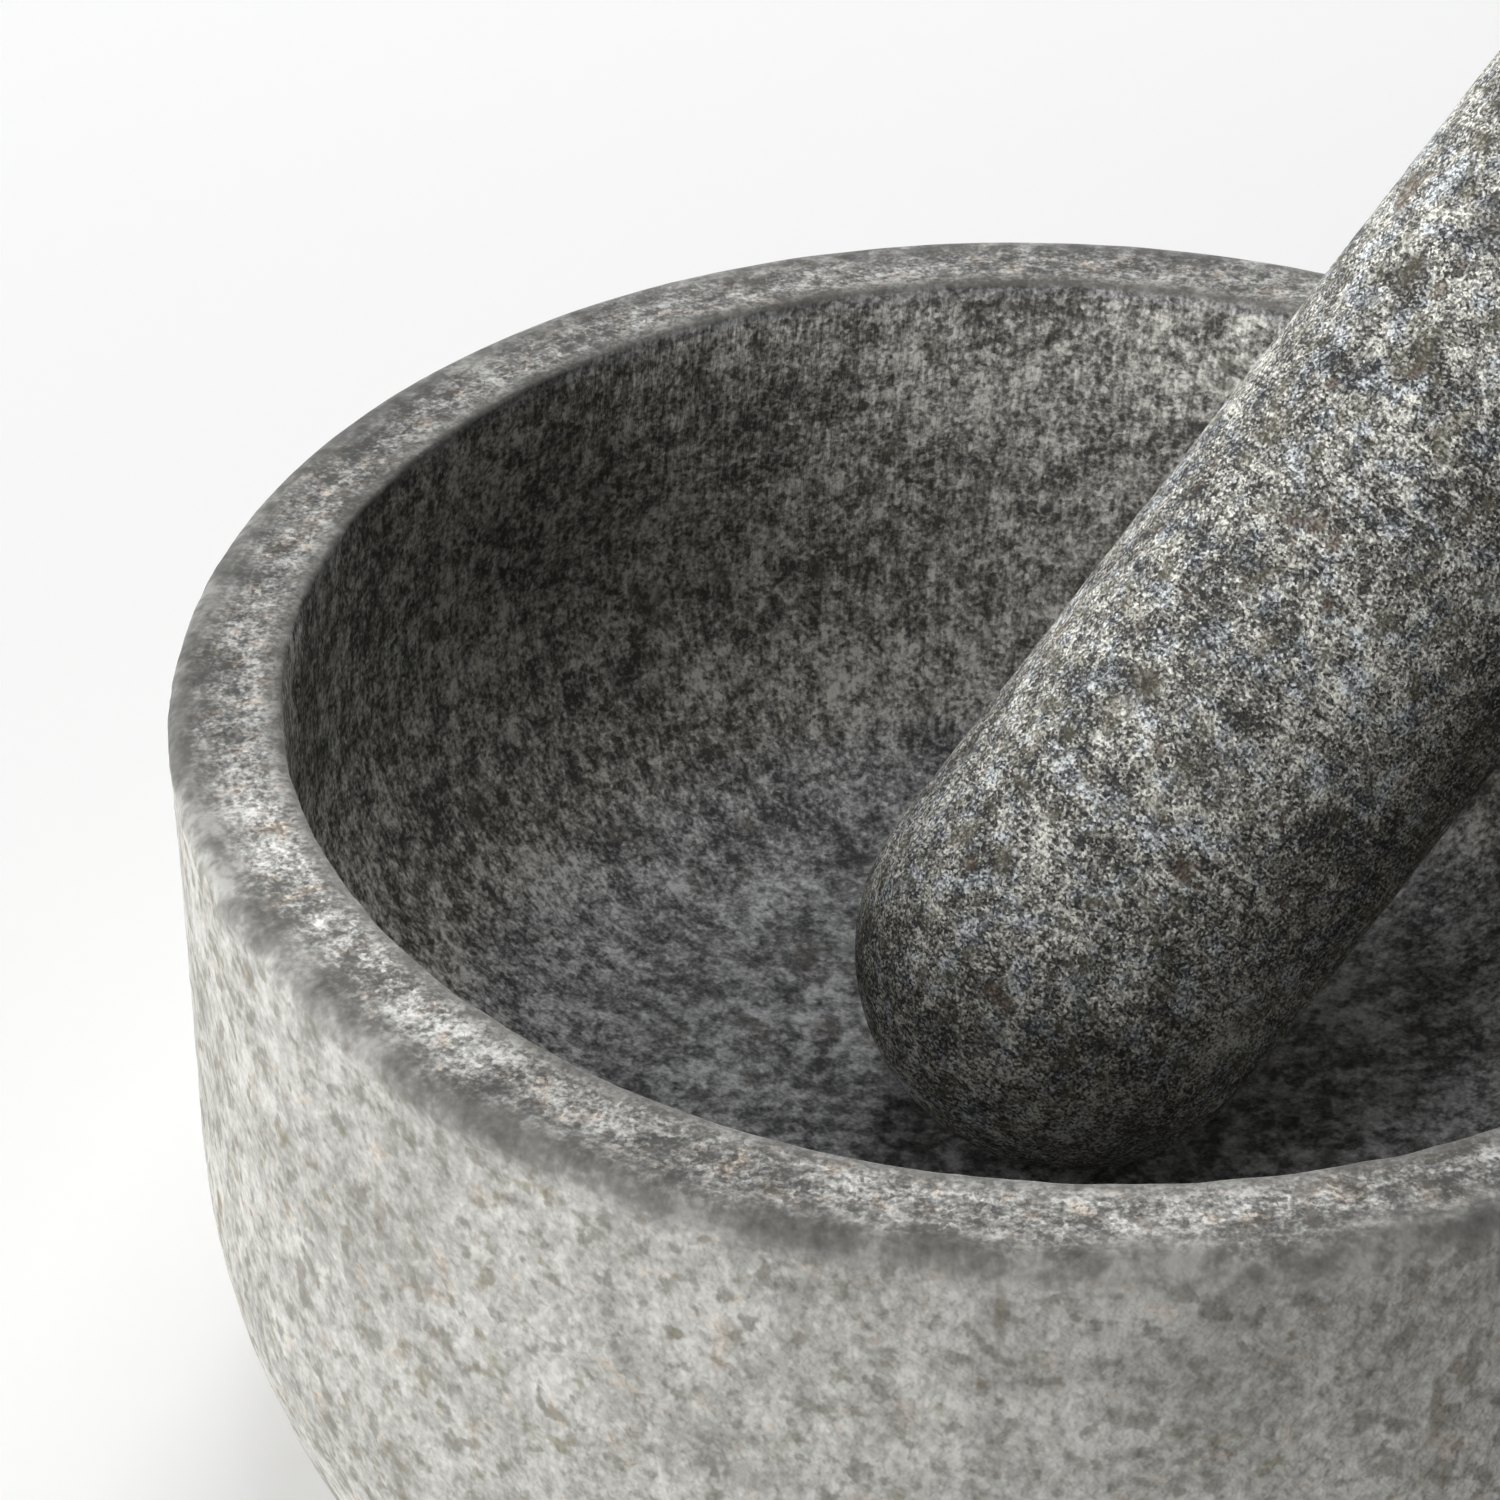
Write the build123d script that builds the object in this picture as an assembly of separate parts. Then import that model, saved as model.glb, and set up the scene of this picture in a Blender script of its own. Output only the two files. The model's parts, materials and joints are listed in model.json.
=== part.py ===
from build123d import *
import os
from math import cos, sin, radians, sqrt

os.makedirs("parts", exist_ok=True)

# Sizes in millimetres. Origin at the centre of the flat base, +Z up through the bowl's axis.

# bowl, outside
HEIGHT = 80.0          # base to rim
RIM_R = 80.2           # outer radius just under the rim rounding
WAIST_R = 80.0         # outer radius where the lower curve starts
CURVE_DROP = 44.4      # rim to the start of the lower curve
CURVE_R = 63.4         # radius of the lower curve
BASE_ROUND = 2.0       # rounding between the lower curve and the flat base
RIM_ROUND_OUT = 2.4    # outer rounding of the rim
RIM_ROUND_IN = 0.7     # inner rounding of the rim

# bowl, cavity
CAV_R = 69.6           # radius of the straight upper wall
CAV_DEPTH = 54.8       # rim to the lowest point
CAV_WALL = 20.0        # depth of the straight upper wall
CAV_ARC = 32.0         # radius of the arc between the wall and the dished floor

# pestle: a round bar with two hemispherical ends, leaning on the rim
PESTLE_R = 20.6
PESTLE_LENGTH = 160.0
LEAN_AZ = 38.8         # degrees from +X towards +Y
LEAN_EL = 42.9         # degrees above the horizontal
TIP_X = 2.4            # centre of the lower hemisphere
TIP_Y = 2.3
GAP = 0.3              # clearance left between pestle and bowl, at the floor and at the rim

# dished floor: the sphere that is tangent to the arc and reaches CAV_DEPTH
A = CAV_DEPTH - CAV_WALL
DISH_R = ((CAV_R - CAV_ARC) ** 2 + A ** 2 - CAV_ARC ** 2) / (2 * (A - CAV_ARC))
dish_cz = HEIGHT - CAV_DEPTH + DISH_R
arc_cx, arc_cz = CAV_R - CAV_ARC, HEIGHT - CAV_WALL
k = DISH_R / (DISH_R - CAV_ARC)
tan_x = arc_cx * k
tan_z = dish_cz + (arc_cz - dish_cz) * k


def between(cx, cz, r, a0, a1):
    """Point half-way round an arc about (cx, cz) from angle a0 to a1, in degrees."""
    m = radians((a0 + a1) / 2)
    return (cx + r * cos(m), cz + r * sin(m))


def polar(cx, cz, x, z):
    from math import atan2, degrees
    return degrees(atan2(z - cz, x - cx))


# outer lower curve: centre level with its upper end
curve_cx = WAIST_R - CURVE_R
curve_cz = HEIGHT - CURVE_DROP
base_edge_r = curve_cx + sqrt(CURVE_R ** 2 - curve_cz ** 2)

top_z = HEIGHT
out_top = (RIM_R - RIM_ROUND_OUT, top_z)
out_side = (RIM_R, top_z - RIM_ROUND_OUT)
out_mid = between(RIM_R - RIM_ROUND_OUT, top_z - RIM_ROUND_OUT, RIM_ROUND_OUT, 0, 90)
in_top = (CAV_R + RIM_ROUND_IN, top_z)
in_side = (CAV_R, top_z - RIM_ROUND_IN)
in_mid = between(CAV_R + RIM_ROUND_IN, top_z - RIM_ROUND_IN, RIM_ROUND_IN, 90, 180)
wall_end = (CAV_R, arc_cz)
arc_mid = between(arc_cx, arc_cz, CAV_ARC, 0, polar(arc_cx, arc_cz, tan_x, tan_z))
dish_mid = between(0, dish_cz, DISH_R, polar(0, dish_cz, tan_x, tan_z), -90)
waist = (WAIST_R, curve_cz)
base_edge = (base_edge_r, 0)
curve_mid = between(curve_cx, curve_cz, CURVE_R, 0, polar(curve_cx, curve_cz, *base_edge))


def xz(p):
    return (p[0], 0, p[1])


edges = [
    Edge.make_line((0, 0, 0), xz(base_edge)),
    Edge.make_three_point_arc(xz(base_edge), xz(curve_mid), xz(waist)),
    Edge.make_line(xz(waist), xz(out_side)),
    Edge.make_three_point_arc(xz(out_side), xz(out_mid), xz(out_top)),
    Edge.make_line(xz(out_top), xz(in_top)),
    Edge.make_three_point_arc(xz(in_top), xz(in_mid), xz(in_side)),
    Edge.make_line(xz(in_side), xz(wall_end)),
    Edge.make_three_point_arc(xz(wall_end), xz(arc_mid), (tan_x, 0, tan_z)),
    Edge.make_three_point_arc((tan_x, 0, tan_z), xz(dish_mid), (0, 0, HEIGHT - CAV_DEPTH)),
    Edge.make_line((0, 0, HEIGHT - CAV_DEPTH), (0, 0, 0)),
]
profile = Face(Wire(edges))
bowl = revolve(profile, Axis.Z, 360)
base_rim = bowl.edges().filter_by(GeomType.CIRCLE).sort_by(Axis.Z)[0]
bowl = fillet(base_rim, BASE_ROUND)

# pestle pose: the tip sphere hangs GAP above the dished floor
u = Vector(cos(radians(LEAN_EL)) * cos(radians(LEAN_AZ)),
           cos(radians(LEAN_EL)) * sin(radians(LEAN_AZ)),
           sin(radians(LEAN_EL)))
tip_off = sqrt(TIP_X ** 2 + TIP_Y ** 2)
tip_z = dish_cz - sqrt((DISH_R - PESTLE_R - GAP) ** 2 - tip_off ** 2)
tip = Vector(TIP_X, TIP_Y, tip_z)


def rim_gap(shift):
    """Least distance from the bar to the rounded inner edge of the rim."""
    side = Vector(-sin(radians(LEAN_EL)) * cos(radians(LEAN_AZ)),
                  -sin(radians(LEAN_EL)) * sin(radians(LEAN_AZ)),
                  cos(radians(LEAN_EL)))
    t = tip + side * shift
    best = 1e9
    for i in range(0, 3600):
        a = radians(i / 10)
        c = Vector((CAV_R + RIM_ROUND_IN) * cos(a), (CAV_R + RIM_ROUND_IN) * sin(a),
                   HEIGHT - RIM_ROUND_IN)
        v = c - t
        s = v.dot(u)
        if s > 0:
            best = min(best, (v - u * s).length - PESTLE_R - RIM_ROUND_IN)
    return best, t


# the bar moves square to its axis, away from the rim, until the gap there is GAP too
lo, hi = -2.0, 4.0
for _ in range(40):
    mid = (lo + hi) / 2
    if rim_gap(mid)[0] < GAP:
        lo = mid
    else:
        hi = mid
shift = max(hi, 0.0)
gap_now, tip = rim_gap(shift)
print("dish radius", round(DISH_R, 2), "base edge radius", round(base_edge_r, 2))
print("shift", round(shift, 3), "rim gap", round(gap_now, 3), "tip", tip, "axis", u)

bar = PESTLE_LENGTH - 2 * PESTLE_R
outline = [
    Edge.make_three_point_arc((0, 0, -PESTLE_R), (PESTLE_R * sin(radians(45)), 0, -PESTLE_R * cos(radians(45))),
                              (PESTLE_R, 0, 0)),
    Edge.make_line((PESTLE_R, 0, 0), (PESTLE_R, 0, bar)),
    Edge.make_three_point_arc((PESTLE_R, 0, bar), (PESTLE_R * sin(radians(45)), 0, bar + PESTLE_R * cos(radians(45))),
                              (0, 0, bar + PESTLE_R)),
    Edge.make_line((0, 0, bar + PESTLE_R), (0, 0, -PESTLE_R)),
]
upright = revolve(Face(Wire(outline)), Axis.Z, 360)
pestle = Plane(origin=tip, z_dir=u).location * upright

export_step(bowl, "parts/bowl.step")
export_step(pestle, "parts/pestle.step")

print("bowl", bowl.is_valid, round(bowl.volume), bowl.bounding_box())
print("pestle", pestle.is_valid, round(pestle.volume), pestle.bounding_box())
common = bowl & pestle
print("shared volume", 0 if common is None else sum(s.volume for s in common.solids()))
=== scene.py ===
import json
import math

import bpy
import numpy as np
from mathutils import Matrix, Vector


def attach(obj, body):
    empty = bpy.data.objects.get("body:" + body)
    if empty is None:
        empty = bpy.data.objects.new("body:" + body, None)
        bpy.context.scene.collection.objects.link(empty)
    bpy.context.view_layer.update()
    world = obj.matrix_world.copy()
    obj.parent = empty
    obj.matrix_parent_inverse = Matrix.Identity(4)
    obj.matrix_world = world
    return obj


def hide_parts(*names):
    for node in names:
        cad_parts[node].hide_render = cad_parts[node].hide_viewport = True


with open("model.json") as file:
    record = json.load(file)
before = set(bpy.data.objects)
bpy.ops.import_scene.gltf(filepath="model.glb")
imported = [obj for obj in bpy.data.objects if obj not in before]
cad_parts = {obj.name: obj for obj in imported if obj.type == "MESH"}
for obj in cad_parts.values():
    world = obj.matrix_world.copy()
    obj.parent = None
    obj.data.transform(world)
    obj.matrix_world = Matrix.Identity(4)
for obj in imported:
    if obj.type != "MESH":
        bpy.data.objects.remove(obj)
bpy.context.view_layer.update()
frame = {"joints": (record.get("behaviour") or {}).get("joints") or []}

JOINT = [j for j in frame["joints"] if j["name"] == "pestle_lift"][0]

# ------------------------------------------------------------------ noise


def hash01(ix, iy, iz, seed):
    h = (ix.astype(np.uint64) * np.uint64(374761393)
         + iy.astype(np.uint64) * np.uint64(668265263)
         + iz.astype(np.uint64) * np.uint64(2147483647)
         + np.uint64(seed * 1013904223)) & np.uint64(0xFFFFFFFF)
    h = ((h ^ (h >> np.uint64(13))) * np.uint64(1274126177)) & np.uint64(0xFFFFFFFF)
    h = ((h ^ (h >> np.uint64(16))) * np.uint64(2246822519)) & np.uint64(0xFFFFFFFF)
    h = h ^ (h >> np.uint64(15))
    return h.astype(np.float64) / 4294967295.0


def noise(p, size, seed):
    """Smooth value noise from 0 to 1; size is the lump size in mm (a number or one for each axis)."""
    q = p / np.asarray(size, float) + 4096.0
    i = np.floor(q).astype(np.int64)
    f = q - i
    f = f * f * f * (f * (f * 6 - 15) + 10)
    out = 0
    for dx in (0, 1):
        for dy in (0, 1):
            for dz in (0, 1):
                w = ((f[:, 0] if dx else 1 - f[:, 0]) * (f[:, 1] if dy else 1 - f[:, 1])
                     * (f[:, 2] if dz else 1 - f[:, 2]))
                out = out + w * hash01(i[:, 0] + dx, i[:, 1] + dy, i[:, 2] + dz, seed)
    return out


def fbm(p, size, seed, octaves=3):
    size = np.asarray(size, float)
    total, amp, norm = 0, 1.0, 0
    for k in range(octaves):
        total = total + amp * noise(p, size / 2 ** k, seed + 17 * k)
        norm += amp
        amp *= 0.5
    return total / norm


def smooth(a, b, x):
    t = np.clip((x - a) / (b - a), 0, 1)
    return t * t * (3 - 2 * t)


def pits(p, size, seed, share):
    """From 0 to 1: bowl-shaped pits on a jittered lattice, in the given share of its cells."""
    q = p / size + 4096.0
    i = np.floor(q).astype(np.int64)
    best = np.zeros(len(p))
    for dx in (-1, 0, 1):
        for dy in (-1, 0, 1):
            for dz in (-1, 0, 1):
                c = i + np.array([dx, dy, dz])
                a = [hash01(c[:, 0], c[:, 1], c[:, 2], seed + k) for k in range(5)]
                d = np.sqrt(sum((q[:, k] - c[:, k] - 0.2 - 0.6 * a[k]) ** 2 for k in range(3)))
                r = 0.2 + 0.32 * a[4]
                depth = np.clip(1 - (d / r) ** 2, 0, 1)
                best = np.maximum(best, np.where(a[3] < share, depth, 0))
    return best


# ------------------------------------------------------------------ meshes


def revolved(name, rows, around, place, attributes):
    """A closed surface of revolution from rows of (position, normal) with a pole at each end.
    place(ring positions in mm) gives the final points; attributes is {name: array}."""
    n = len(rows)
    count = (n - 2) * around + 2
    faces = []
    j = np.arange(around)
    jn = (j + 1) % around
    quads = []
    for k in range(n - 3):
        a, b = 1 + k * around, 1 + (k + 1) * around
        quads.append(np.stack([a + j, a + jn, b + jn, b + j], 1))
    quads = np.concatenate(quads)
    first = np.stack([np.zeros(around, int), 1 + jn, 1 + j], 1)
    last_row = 1 + (n - 3) * around
    last = np.stack([np.full(around, count - 1), last_row + j, last_row + jn], 1)
    faces = first.tolist() + quads.tolist() + last.tolist()
    me = bpy.data.meshes.new(name)
    me.from_pydata((place / 1000.0).tolist(), [], faces)
    me.polygons.foreach_set("use_smooth", np.ones(len(faces), bool))
    for key, values in attributes.items():
        if values.ndim == 2:
            a = me.attributes.new(key, "FLOAT_VECTOR", "POINT")
            a.data.foreach_set("vector", values.astype(np.float32).ravel())
        else:
            a = me.attributes.new(key, "FLOAT", "POINT")
            a.data.foreach_set("value", values.astype(np.float32).ravel())
    me.update()
    o = bpy.data.objects.new(name, me)
    bpy.context.scene.collection.objects.link(o)
    return o


def rings(rows, around):
    """Angles, radii, heights, arc lengths and normals of every vertex, poles included."""
    r = np.array([x[0] for x in rows])
    z = np.array([x[1] for x in rows])
    t = np.stack([np.gradient(r), np.gradient(z)], 1)
    t /= np.linalg.norm(t, axis=1)[:, None]
    nr, nz = t[:, 1], -t[:, 0]
    s = np.concatenate([[0], np.cumsum(np.hypot(np.diff(r), np.diff(z)))])
    th = np.arange(around) * 2 * math.pi / around
    mid = slice(1, len(rows) - 1)

    def spread(v):
        return np.concatenate([[v[0]], np.repeat(v[mid], around), [v[-1]]])

    ang = np.concatenate([[0], np.tile(th, len(rows) - 2), [0]])
    nr = nr.copy()
    nz = nz.copy()
    nr[0] = nr[-1] = 0
    nz[0], nz[-1] = math.copysign(1, nz[0]), math.copysign(1, nz[-1])
    return ang, spread(r), spread(z), spread(s), spread(nr), spread(nz)


def arc(cx, cz, r, a0, a1, n):
    a = np.radians(np.linspace(a0, a1, n))
    return [(cx + r * math.cos(t), cz + r * math.sin(t)) for t in a]


def line(p, q, n):
    return [(p[0] + (q[0] - p[0]) * k, p[1] + (q[1] - p[1]) * k) for k in np.linspace(0, 1, n)]


def joined(*parts):
    out = []
    for part in parts:
        for p in part:
            if not out or math.hypot(p[0] - out[-1][0], p[1] - out[-1][1]) > 1e-4:
                out.append(p)
    return out


# bowl, in mm, as the CAD has it
H, CAV_R = 80.0, 69.6
DISH_R = ((CAV_R - 32) ** 2 + 34.8 ** 2 - 32 ** 2) / (2 * (34.8 - 32))
dish_z = H - 54.8 + DISH_R
k = DISH_R / (DISH_R - 32)
tan_x, tan_z = 37.6 * k, dish_z + (60 - dish_z) * k
tan_a = math.degrees(math.atan2(tan_z - 60, tan_x - 37.6))
dish_a = math.degrees(math.atan2(tan_z - dish_z, tan_x))
bx = 16.6 + math.sqrt(61.4 ** 2 - (2 - 35.6) ** 2)
edge_a = math.degrees(math.atan2(2 - 35.6, bx - 16.6))
bowl_rows = joined(
    line((0, 0), (bx, 0), 12),
    arc(bx, 2, 2.0, -90, edge_a, 4),
    arc(16.6, 35.6, 63.4, edge_a, 0, 22),
    line((80.0, 35.6), (80.2, 77.6), 28),
    arc(77.8, 77.6, 2.4, 0, 90, 7),
    line((77.8, 80), (70.3, 80), 9),
    arc(70.3, 79.3, 0.7, 90, 180, 5),
    line((69.6, 79.3), (69.6, 60), 16),
    arc(37.6, 60, 32, 0, tan_a, 26),
    arc(0, dish_z, DISH_R, dish_a, -90, 20),
)
AROUND = 700
ang, r, z, s, nr, nz = rings(bowl_rows, AROUND)
c, sn = np.cos(ang), np.sin(ang)
P = np.stack([r * c, r * sn, z], 1)
N = np.stack([nr * c, nr * sn, nz], 1)
# the loose profile parameter tells the zones apart: outside, rim, cavity
row_s = np.array([0.0] + list(np.cumsum([math.dist(a, b) for a, b in zip(bowl_rows, bowl_rows[1:])])))
i_side = min(range(len(bowl_rows)), key=lambda i: math.dist(bowl_rows[i], (80.2, 77.6)))
i_in = min(range(len(bowl_rows)), key=lambda i: math.dist(bowl_rows[i], (69.6, 79.3)))
s_side, s_in = row_s[i_side], row_s[i_in]
ragged = (fbm(P, 9, 5, 3) - 0.5) * 5.5 + (fbm(P, 2.2, 9, 2) - 0.5) * 3.0
m_out = 1 - smooth(-1.7, 1.7, s - (s_side + 0.2) + ragged * 0.45)
m_cav = smooth(-0.9, 0.5, s - s_in + ragged * 0.12)
m_rim = np.clip(1 - m_out - m_cav, 0, 1)
m_band = 1 - smooth(-1.8, 3.4, s - (s_side + 3.9) + ragged * 0.6)
base = smooth(66, 60, r) * (z < 1)
# tool marks run up the cavity wall, leaning a few degrees
lean = ang + np.tan(np.radians(-8 + 3.5 * sn)) * (s - s_in) / np.maximum(r, 14)
groove_at = np.stack([np.cos(lean) * CAV_R, np.sin(lean) * CAV_R, (s - s_in) * 0.26], 1)
groove = noise(groove_at, 1.7, 21) * 0.6 + noise(groove_at, 3.6, 22) * 0.4
wall_part = m_cav * smooth(34, 62, r)
m_inner = smooth(77.0, 70.5, r) * (z > 70)
down = m_out * (0.34 * fbm(P, 3.4, 31, 2) + 0.3 * fbm(P, 16, 32, 2) + 0.4 * pits(P, 6.5, 33, 0.22))
down += m_rim * (0.09 * fbm(P, 5, 41, 3) + 0.28 * pits(P, 5.0, 43, 0.1))
down += m_cav * (0.24 * groove * smooth(18, 52, r) + 0.14 * fbm(P, 4, 51, 2) + 0.25 * pits(P, 6.0, 53, 0.14))
down *= 1 - 0.8 * base
# marks of turning run round the rim
round_at = np.stack([c * 22.0, sn * 22.0, r * 1.1 + z * 1.1], 1)
# painted shade: a dark ring along the rim's inner edge, where it turns down into the cavity
m_lip_painted_shade = np.exp(-((s - s_in + 0.9) / 1.5) ** 2)


def patch(p, at, size):
    d = np.linalg.norm((p - np.array(at)) / np.array(size), axis=1)
    return np.exp(-d * d)


# the stone's own broad changes of tone at random, and patches that are partly stone and partly painted light and
# painted shade: lighter on the far, left and lower back-left cavity wall and on the near rim, darker high on the
# back-left cavity wall and on the near outer wall
tone_with_painted_light_and_shade = 1.0 + 0.14 * (fbm(P, 38, 91, 2) - 0.5)
tone_with_painted_light_and_shade += m_cav * (0.32 * patch(P, (12, 68, 68), (34, 26, 20)) + 0.30 * patch(P, (-66, 12, 56), (14, 24, 14))
                 + 0.16 * patch(P, (-34, 38, 33), (20, 24, 12)) - 0.27 * patch(P, (-56, 40, 64), (24, 24, 15)))
tone_with_painted_light_and_shade += m_rim * (0.75 * patch(P, (-61, -42, 80), (20, 22, 20)) + 0.34 * patch(P, (12, -75, 80), (40, 20, 20)))
tone_with_painted_light_and_shade -= m_out * 0.24 * patch(P, (20, -78, 74), (24, 24, 9))
near_edge = smooth(2.5, 0.0, np.abs(s - s_in))
down += near_edge * 0.35 * fbm(P, [4, 4, 9], 61, 3)
place = P - N * down[:, None]
place[:, 2] = np.clip(place[:, 2], 0.0, 80.0)
bowl = revolved("mortar_bowl_stone", bowl_rows, AROUND, place,
                {"groove_at": groove_at, "m_out": m_out, "m_cav": m_cav, "m_wall": wall_part, "m_band": m_band,
                 "m_inner": m_inner, "m_lip_painted_shade": m_lip_painted_shade, "round_at": round_at, "tone_with_painted_light_and_shade": tone_with_painted_light_and_shade})

# pestle, in its own frame: axis along z, lower hemisphere at z 0
PR, BAR = 20.6, 118.8
tip = np.array([2.23806, 2.1698, 46.3445])
axis = np.array(JOINT["axis"], float)
axis /= np.linalg.norm(axis)
pestle_rows = joined(
    arc(0, 0, PR, -90, 0, 40),
    line((PR, 0), (PR, BAR), 150),
    arc(0, BAR, PR, 0, 90, 40),
)
PA = 300
ang, r, z, s, nr, nz = rings(pestle_rows, PA)
c, sn = np.cos(ang), np.sin(ang)
Q = np.stack([r * c, r * sn, z], 1)
NQ = np.stack([nr * c, nr * sn, nz], 1)
big, small = pits(Q, 6.4, 74, 0.13), pits(Q, 2.6, 75, 0.12)
e1 = np.cross([0, 0, 1.0], axis)
e1 /= np.linalg.norm(e1)
e2 = np.cross(axis, e1)
M = np.stack([e1, e2, axis], 1)
# darker towards the lower end, and painted shade on the side that faces right, forward and down, away from the lights
painted_shade_side = NQ @ M.T @ np.array([0.72, -0.45, -0.53])
pestle_tone_and_painted_shade = 1.08 + 0.25 * (fbm(Q, 24, 92, 2) - 0.5) - 0.38 * smooth(16, -16, z) - 0.33 * smooth(0.15, 0.85, painted_shade_side)
scuffs = noise(Q, [7.0, 7.0, 0.9], 71)
down = 0.10 * fbm(Q, 14, 72, 2) + 0.10 * fbm(Q, 1.9, 73, 2) + 0.05 * scuffs + 0.38 * big \
    + 0.2 * small
place = (Q - NQ * down[:, None]) @ M.T + tip
pestle = revolved("pestle_stone", pestle_rows, PA, place, {"local": Q, "tone_with_painted_light_and_shade": pestle_tone_and_painted_shade, "pit": np.clip(big + 0.7 * small, 0, 1)})

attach(bowl, "mortar")
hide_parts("bowl")
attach(pestle, "pestle")
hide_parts("pestle")

# ------------------------------------------------------------------ materials


class Nodes:
    def __init__(self, name):
        self.m = bpy.data.materials.new(name)
        self.m.use_nodes = True
        self.t = self.m.node_tree
        self.t.nodes.clear()
        self.out = self.t.nodes.new("ShaderNodeOutputMaterial")
        self.b = self.t.nodes.new("ShaderNodeBsdfPrincipled")
        self.t.links.new(self.b.outputs[0], self.out.inputs[0])

    def new(self, kind, **props):
        n = self.t.nodes.new(kind)
        for key, v in props.items():
            setattr(n, key, v)
        return n

    def put(self, socket, v):
        """Links a socket, or sets a value."""
        if isinstance(v, bpy.types.NodeSocket):
            self.t.links.new(v, socket)
        else:
            socket.default_value = v

    def attr(self, name, vector=False):
        n = self.new("ShaderNodeAttribute", attribute_name=name)
        return n.outputs["Vector" if vector else "Fac"]

    def vec(self, op, a, b):
        n = self.new("ShaderNodeVectorMath", operation=op)
        self.put(n.inputs[0], a)
        if op == "SCALE":
            n.inputs["Scale"].default_value = b
        else:
            self.put(n.inputs[1], b)
        return n.outputs[0]

    def math(self, op, a, b=0.0, clamp=False):
        n = self.new("ShaderNodeMath", operation=op, use_clamp=clamp)
        self.put(n.inputs[0], a)
        self.put(n.inputs[1], b)
        return n.outputs[0]

    def noise(self, v, size, detail=2.0, rough=0.55, distort=0.0):
        """v is in mm; size is the lump size in mm."""
        n = self.new("ShaderNodeTexNoise")
        self.put(n.inputs["Vector"], v)
        n.inputs["Scale"].default_value = 1.0 / size
        n.inputs["Detail"].default_value = detail
        n.inputs["Roughness"].default_value = rough
        n.inputs["Distortion"].default_value = distort
        return n.outputs[0]

    def noise_vector(self, v, size, detail=2.0):
        """Three noises at once, each from 0 to 1."""
        n = self.new("ShaderNodeTexNoise")
        self.put(n.inputs["Vector"], v)
        n.inputs["Scale"].default_value = 1.0 / size
        n.inputs["Detail"].default_value = detail
        return n.outputs[1]

    def cell_value(self, v, size):
        """One flat random value from 0 to 1 in each cell."""
        n = self.new("ShaderNodeTexVoronoi")
        self.put(n.inputs["Vector"], v)
        n.inputs["Scale"].default_value = 1.0 / size
        c = self.new("ShaderNodeSeparateColor")
        self.put(c.inputs[0], n.outputs["Color"])
        return c.outputs[0]

    def times(self, v, factors):
        return self.vec("MULTIPLY", v, factors)

    def span(self, v, a, b, lo=0.0, hi=1.0):
        n = self.new("ShaderNodeMapRange")
        n.interpolation_type = "SMOOTHSTEP"
        self.put(n.inputs[0], v)
        for i, x in ((1, a), (2, b), (3, lo), (4, hi)):
            n.inputs[i].default_value = x
        return n.outputs[0]

    def ramp(self, v, stops):
        n = self.new("ShaderNodeValToRGB")
        e = n.color_ramp.elements
        while len(e) < len(stops):
            e.new(0.5)
        for i, (pos, col) in enumerate(stops):
            e[i].position = pos
            e[i].color = (*col, 1)
        self.put(n.inputs[0], v)
        return n.outputs[0]

    def mix(self, f, a, b, mode="MIX"):
        n = self.new("ShaderNodeMix", data_type="RGBA", blend_type=mode)
        self.put(n.inputs[0], f)
        self.put(n.inputs[6], a if isinstance(a, bpy.types.NodeSocket) else (*a, 1))
        self.put(n.inputs[7], b if isinstance(b, bpy.types.NodeSocket) else (*b, 1))
        return n.outputs[2]

    def bump(self, height, strength, distance, normal=None):
        n = self.new("ShaderNodeBump")
        n.inputs["Strength"].default_value = strength
        n.inputs["Distance"].default_value = distance
        self.put(n.inputs["Height"], height)
        if normal is not None:
            self.put(n.inputs["Normal"], normal)
        return n.outputs[0]

    def mm(self):
        n = self.new("ShaderNodeTexCoord")
        return self.vec("SCALE", n.outputs["Object"], 1000.0)


def grey(v, warm=0.0):
    return (v * (1 + 0.25 * warm), v, v * (1 - 1.4 * warm))


def blend_of(n, *parts):
    """A weighted sum of noises about 0.5: each part is (socket, weight); the weights scale the swing about the middle."""
    total = None
    for socket, weight in parts:
        swing = n.math("MULTIPLY", n.math("SUBTRACT", socket, 0.5), weight)
        total = swing if total is None else n.math("ADD", total, swing)
    return n.math("ADD", total, 0.5)


def tinted(n, colour, factor, tint):
    return n.mix(factor, colour, n.mix(1.0, colour, tint, "MULTIPLY"))


def lit_by(n, colour, factor):
    """Colour times a value that varies over the surface."""
    c = n.new("ShaderNodeCombineColor")
    for i in range(3):
        n.put(c.inputs[i], factor)
    return n.mix(1.0, colour, c.outputs[0], "MULTIPLY")


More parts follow.
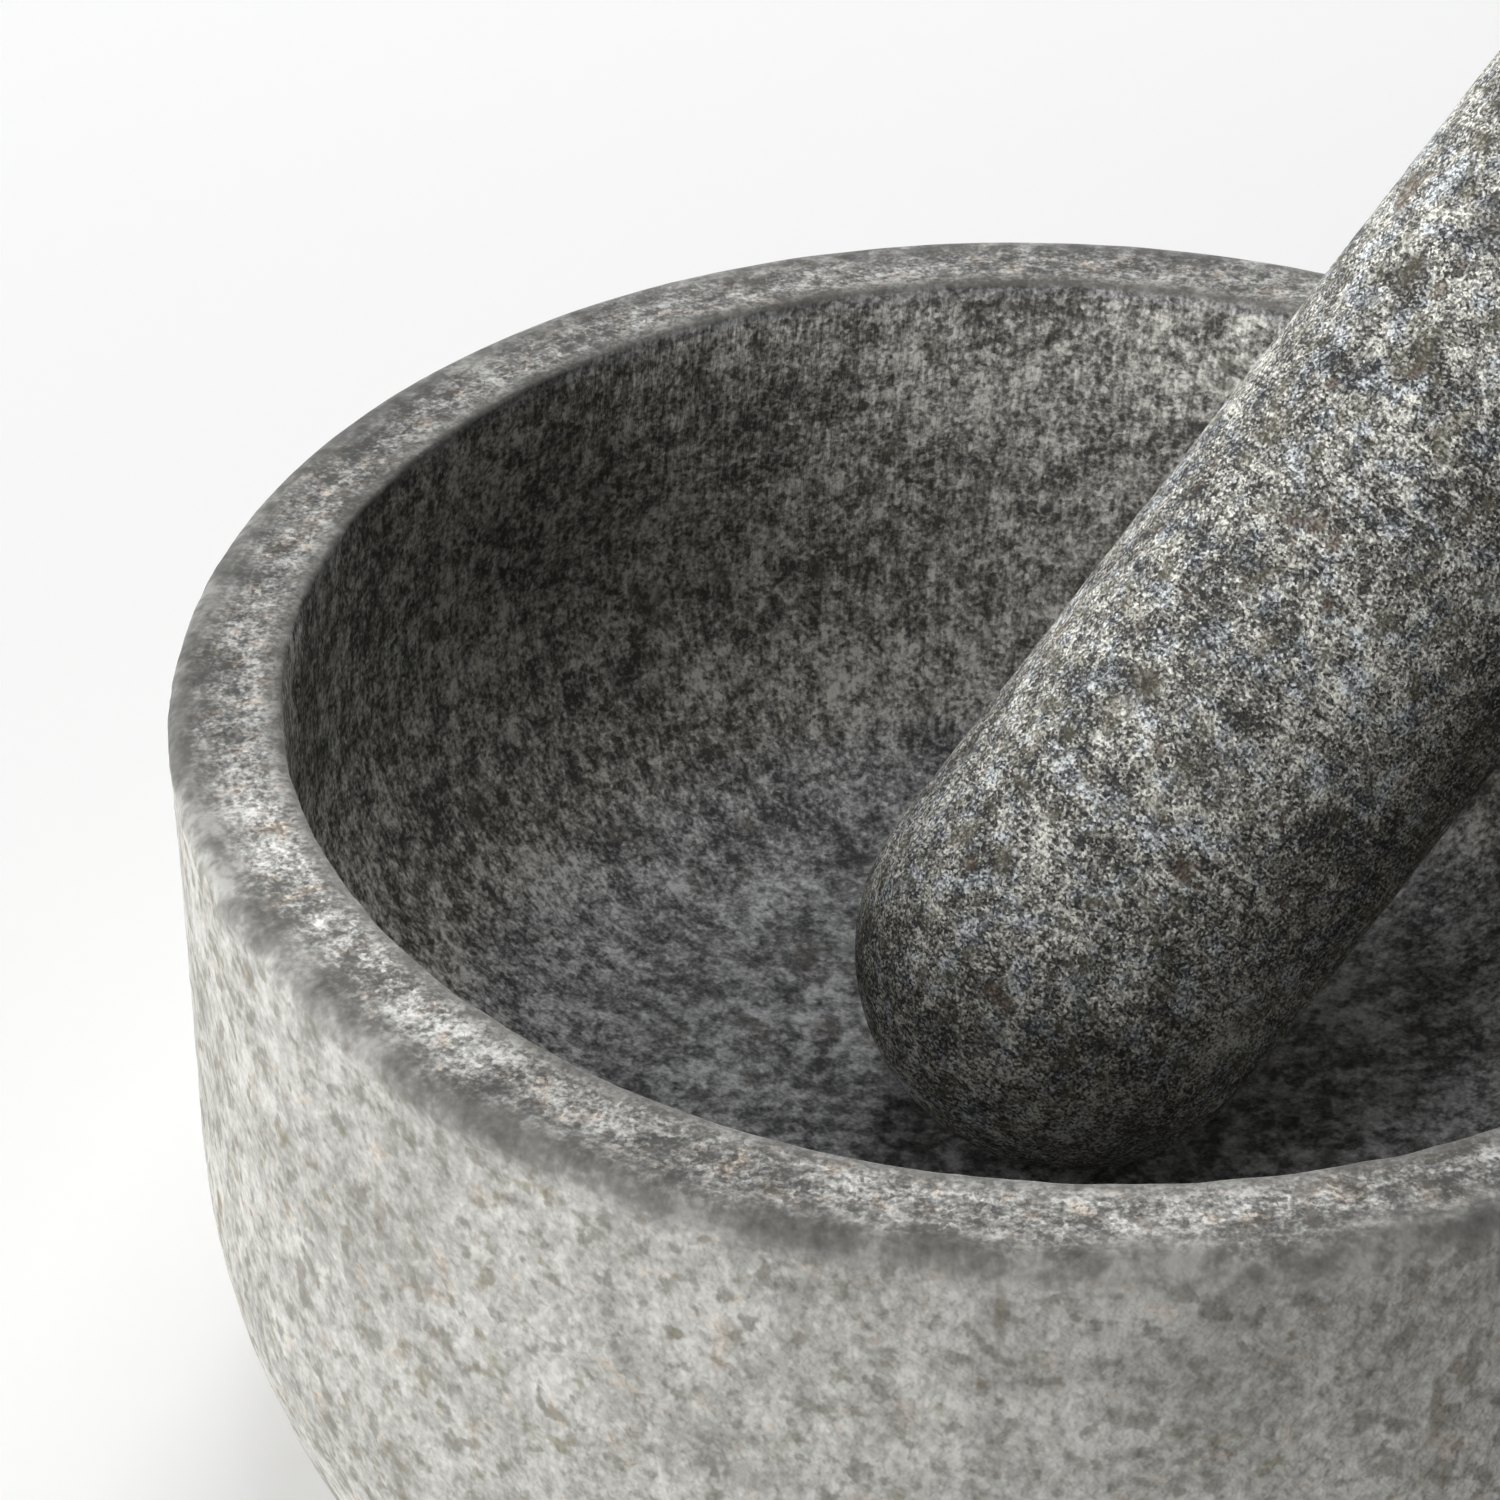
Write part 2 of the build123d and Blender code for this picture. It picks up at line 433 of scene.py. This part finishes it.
def stone_bowl():
    n = Nodes("bowl_granite")
    v = n.mm()
    gv = n.attr("groove_at", True)
    round_at = n.attr("round_at", True)
    m_out, m_cav, m_wall, m_band = n.attr("m_out"), n.attr("m_cav"), n.attr("m_wall"), n.attr("m_band")
    inner = n.attr("m_inner")
    crystal = n.noise(v, 0.8, 2.0, 0.5)
    clump = n.noise(v, 2.3, 3.0, 0.55)
    cloud = n.noise(v, 9.0, 2.0, 0.5)
    # rough outside wall: cream, with small grey marks, olive blotches and a few runs of stain
    g = blend_of(n, (crystal, 0.5), (clump, 0.5), (cloud, 0.5))
    outer = n.ramp(g, [(0.30, grey(0.25, 0.06)), (0.45, grey(0.36, 0.05)), (0.65, grey(0.52, 0.04))])
    marks = n.span(n.noise(v, 2.1, 3.0, 0.5), 0.52, 0.66)
    outer = n.mix(n.math("MULTIPLY", marks, 0.70), outer, (0.175, 0.168, 0.14))
    wide = n.span(n.noise(v, 3.6, 2.0, 0.5), 0.58, 0.72)
    outer = n.mix(n.math("MULTIPLY", wide, 0.45), outer, (0.19, 0.185, 0.17))
    olive = n.span(n.noise(v, 3.8, 3.0, 0.6), 0.60, 0.70)
    outer = n.mix(n.math("MULTIPLY", olive, 0.65), outer, (0.195, 0.178, 0.12))
    pink = n.span(n.noise(v, 3.1, 2.0, 0.5), 0.60, 0.70)
    outer = tinted(n, outer, pink, (1.05, 0.98, 0.93))
    run = n.span(n.noise(n.times(v, (1.0, 1.0, 0.2)), 3.6, 2.0, 0.5), 0.66, 0.74)
    outer = n.mix(n.math("MULTIPLY", run, 0.6), outer, (0.18, 0.16, 0.12))
    # rim: clouded grey with brown flecks and bleached scuffs that run round it, paler towards the cavity
    turn = n.noise(round_at, 1.0, 2.0, 0.5)
    grain_r = blend_of(n, (n.noise(v, 0.40, 2.0, 0.6), 0.8), (n.cell_value(v, 0.5), 0.4))
    g2 = blend_of(n, (grain_r, 0.6), (crystal, 0.45), (clump, 0.65), (cloud, 0.6), (turn, 0.5))
    g2 = n.math("ADD", g2, n.math("MULTIPLY", n.math("SUBTRACT", inner, 0.62), 0.10))
    rim = n.ramp(g2, [(0.28, grey(0.085, 0.04)), (0.42, grey(0.17, 0.035)), (0.53, grey(0.28, 0.03)), (0.66, grey(0.47, 0.03)), (0.8, grey(0.66, 0.02))])
    fleck = n.span(n.noise(v, 3.2, 2.0, 0.5), 0.62, 0.70)
    rim = n.mix(n.math("MULTIPLY", fleck, 0.6), rim, (0.14, 0.12, 0.10))
    rim = tinted(n, rim, n.span(n.noise(v, 2.2, 2.0, 0.5), 0.54, 0.66), (1.07, 0.98, 0.90))
    gb = blend_of(n, (crystal, 0.4), (clump, 0.6), (cloud, 0.7), (turn, 0.4))
    band = n.ramp(gb, [(0.28, grey(0.085, 0.05)), (0.50, grey(0.15, 0.04)), (0.70, grey(0.27, 0.04))])
    rim = n.mix(m_band, rim, band)
    # painted shade darkens the rim along its inner edge
    rim = n.mix(n.math("MULTIPLY", n.attr("m_lip_painted_shade"), 0.8), rim, (0.135, 0.132, 0.12))
    # cavity: tool marks and olive stone on the wall, cooler clotted clouds on the floor
    streak = n.noise(gv, 0.66, 2.0, 0.5)
    wall = blend_of(n, (grain_r, 0.65), (crystal, 0.65), (clump, 0.95), (cloud, 0.5), (streak, 0.52))
    clot = n.span(n.noise(v, 2.2, 3.0, 0.6), 0.38, 0.62)
    floor_ = blend_of(n, (grain_r, 0.28), (crystal, 0.5), (clump, 0.4), (clot, 0.25), (cloud, 0.4))
    deep = n.math("ADD", n.math("MULTIPLY", wall, m_wall), n.math("MULTIPLY", floor_, n.math("SUBTRACT", 1.0, m_wall)))
    cav = n.ramp(deep, [(0.24, grey(0.07)), (0.40, grey(0.165)), (0.53, grey(0.30)), (0.66, grey(0.48)), (0.82, grey(0.72))])
    cav = tinted(n, cav, n.span(m_wall, 0.84, 1.0), (1.02, 1.0, 0.925))
    cav = tinted(n, cav, n.math("SUBTRACT", 1.0, m_wall), (0.99, 1.0, 1.02))
    warm = n.span(n.noise(v, 5.0, 2.0, 0.5), 0.60, 0.72)
    cav = n.mix(n.math("MULTIPLY", warm, 0.45), cav, (0.125, 0.11, 0.08))
    col = n.mix(m_out, rim, outer)
    col = n.mix(m_cav, col, cav)
    # the tone attribute multiplies in the random tone together with the painted light and painted shade
    col = lit_by(n, col, n.attr("tone_with_painted_light_and_shade"))
    n.put(n.b.inputs["Base Color"], col)
    n.put(n.b.inputs["Roughness"], n.span(clump, 0.3, 0.7, 0.92, 0.74))
    n.b.inputs["Specular IOR Level"].default_value = 0.35
    # fine relief: grain everywhere, tool marks in the cavity
    h1 = n.math("MULTIPLY", n.noise(v, 1.3, 2.0, 0.5), n.math("ADD", n.math("MULTIPLY", m_out, 0.8), 0.45))
    h2 = n.math("MULTIPLY", streak, n.math("MULTIPLY", m_wall, 0.8))
    n.put(n.b.inputs["Normal"], n.bump(n.math("ADD", h1, h2), 0.7, 0.0005))
    return n.m


def stone_pestle():
    n = Nodes("pestle_granite")
    v = n.attr("local", True)
    # grains: cells pushed out of shape, so that they come out angular and clustered
    push = n.vec("SCALE", n.vec("SUBTRACT", n.noise_vector(v, 0.9, 2.0), (0.5, 0.5, 0.5)), 0.4)
    grain_v = n.vec("ADD", v, push)
    grain_a = n.cell_value(n.times(grain_v, (1.0, 1.0, 1.2)), 0.28)
    grain_b = n.cell_value(grain_v, 0.75)
    crystal = n.noise(v, 0.32, 2.0, 0.6)
    grit = n.noise(v, 1.1, 3.0, 0.6)
    clump = n.noise(v, 2.8, 3.0, 0.55)
    cloud = n.noise(v, 8.0, 2.0, 0.5)
    scratch = n.noise(n.times(v, (0.12, 0.12, 2.4)), 1.0, 2.0, 0.6)
    patch_ = n.span(n.noise(v, 11.0, 2.0, 0.5), 0.42, 0.62)
    scratches = n.math("ADD", n.math("MULTIPLY", n.math("SUBTRACT", scratch, 0.5), patch_), 0.5)
    val = blend_of(n, (grain_a, 0.42), (grain_b, 0.13), (crystal, 0.80), (grit, 0.45), (clump, 0.65), (cloud, 0.4), (scratches, 0.6))
    col = n.ramp(val, [(0.24, grey(0.03, 0.04)), (0.37, grey(0.085, 0.06)), (0.50, grey(0.20, 0.06)), (0.62, grey(0.40, 0.07)), (0.80, grey(0.82, 0.06))])
    blue = n.span(n.noise(v, 3.0, 2.0, 0.5), 0.50, 0.62)
    col = tinted(n, col, n.math("MULTIPLY", blue, 0.8), (0.91, 0.985, 1.14))
    olive = n.span(n.noise(v, 2.4, 2.0, 0.5), 0.55, 0.68)
    col = n.mix(n.math("MULTIPLY", olive, 0.5), col, (0.115, 0.104, 0.066))
    rust = n.span(n.noise(v, 4.2, 2.0, 0.5), 0.665, 0.71)
    col = n.mix(n.math("MULTIPLY", rust, 0.6), col, (0.10, 0.066, 0.045))
    col = n.mix(n.math("MULTIPLY", n.attr("pit"), 0.6), col, (0.05, 0.043, 0.032))
    # the tone attribute multiplies in the painted shade on the side away from the lights, the random tone and the
    # darker lower end
    col = lit_by(n, col, n.attr("tone_with_painted_light_and_shade"))
    n.put(n.b.inputs["Base Color"], col)
    n.put(n.b.inputs["Roughness"], n.span(val, 0.3, 0.7, 0.85, 0.6))
    n.b.inputs["Specular IOR Level"].default_value = 0.4
    h = blend_of(n, (grain_a, 0.15), (crystal, 0.6), (grit, 0.9), (scratches, 0.6), (clump, 0.5))
    n.put(n.b.inputs["Normal"], n.bump(h, 0.8, 0.0006))
    return n.m


bowl.data.materials.append(stone_bowl())
pestle.data.materials.append(stone_pestle())

# ------------------------------------------------------------------ floor, light, camera

floor_me = bpy.data.meshes.new("floor")
floor_me.from_pydata([(-40, -40, 0), (40, -40, 0), (40, 40, 0), (-40, 40, 0)], [], [(0, 1, 2, 3)])
floor = bpy.data.objects.new("floor", floor_me)
bpy.context.scene.collection.objects.link(floor)
fm = bpy.data.materials.new("floor_pale")
fm.use_nodes = True
fb = fm.node_tree.nodes["Principled BSDF"]
fb.inputs["Base Color"].default_value = (0.855, 0.855, 0.855, 1)
fb.inputs["Roughness"].default_value = 0.9
floor_me.materials.append(fm)

# the room: dim above, pale at the level of the horizon, darker on the right
world = bpy.data.worlds.new("studio")
world.use_nodes = True
wt = world.node_tree
sky = wt.nodes["Background"]
sky.inputs[0].default_value = (1, 1, 1, 1)
where = wt.nodes.new("ShaderNodeTexCoord")
xyz = wt.nodes.new("ShaderNodeSeparateXYZ")
fade = wt.nodes.new("ShaderNodeMapRange")
fade.interpolation_type = "SMOOTHSTEP"
wt.links.new(where.outputs["Generated"], xyz.inputs[0])
wt.links.new(xyz.outputs[2], fade.inputs[0])
for i, x in ((1, 0.0), (2, 0.35), (3, 0.38), (4, 0.04)):
    fade.inputs[i].default_value = x
side = wt.nodes.new("ShaderNodeMapRange")
side.interpolation_type = "SMOOTHSTEP"
wt.links.new(xyz.outputs[0], side.inputs[0])
for i, x in ((1, -0.2), (2, 0.9), (3, 1.0), (4, 0.35)):
    side.inputs[i].default_value = x
both = wt.nodes.new("ShaderNodeMath")
both.operation = "MULTIPLY"
wt.links.new(fade.outputs[0], both.inputs[0])
wt.links.new(side.outputs[0], both.inputs[1])
wt.links.new(both.outputs[0], sky.inputs[1])
bpy.context.scene.world = world


def softbox(name, azimuth, elevation, power, size=0.9):
    """A round soft light 1.8 m off; azimuth 0 is the front, 90 the right, 180 the back."""
    li = bpy.data.lights.new(name, "AREA")
    li.shape, li.size, li.energy = "DISK", size, power
    o = bpy.data.objects.new(name, li)
    a, e = math.radians(azimuth), math.radians(elevation)
    to = Vector((0, 0, 0.06))
    o.location = Vector((math.sin(a) * math.cos(e), -math.cos(a) * math.cos(e), math.sin(e))) * 1.8 + to
    o.rotation_euler = (to - o.location).to_track_quat("-Z", "Y").to_euler()
    bpy.context.scene.collection.objects.link(o)


softbox("window_back", 180, 15, 26.5)
softbox("overhead", 180, 78, 9.3)
softbox("back_left", 225, 35, 2.6)
softbox("left_low", 270, 15, 15.9)
softbox("left_high", 270, 35, 2.5)
softbox("front_left_low", 315, 15, 16.6)
softbox("front_left_high", 315, 35, 4.9)

cam = bpy.data.cameras.new("camera")
cam.sensor_width = 36.0
cam.lens = 4531.5436 / 1500 * 36
cam_o = bpy.data.objects.new("camera", cam)
bpy.context.scene.collection.objects.link(cam_o)
R = 0.08
pitch, yaw, roll = math.radians(35.38956), math.radians(-4.788437), math.radians(0.357466)
fwd = Vector((math.sin(yaw) * math.cos(pitch), math.cos(yaw) * math.cos(pitch), -math.sin(pitch)))
right = Vector((math.cos(yaw), -math.sin(yaw), 0))
up = right.cross(fwd)
r2 = right * math.cos(roll) + up * math.sin(roll)
u2 = -right * math.sin(roll) + up * math.cos(roll)
rot = Matrix((r2, u2, -fwd)).transposed().to_4x4()
cam_o.matrix_world = Matrix.Translation((0, -4.20812725 * R, 2.86457921 * R + H / 1000)) @ rot
bpy.context.scene.camera = cam_o
bpy.context.scene.view_settings.view_transform = "Standard"
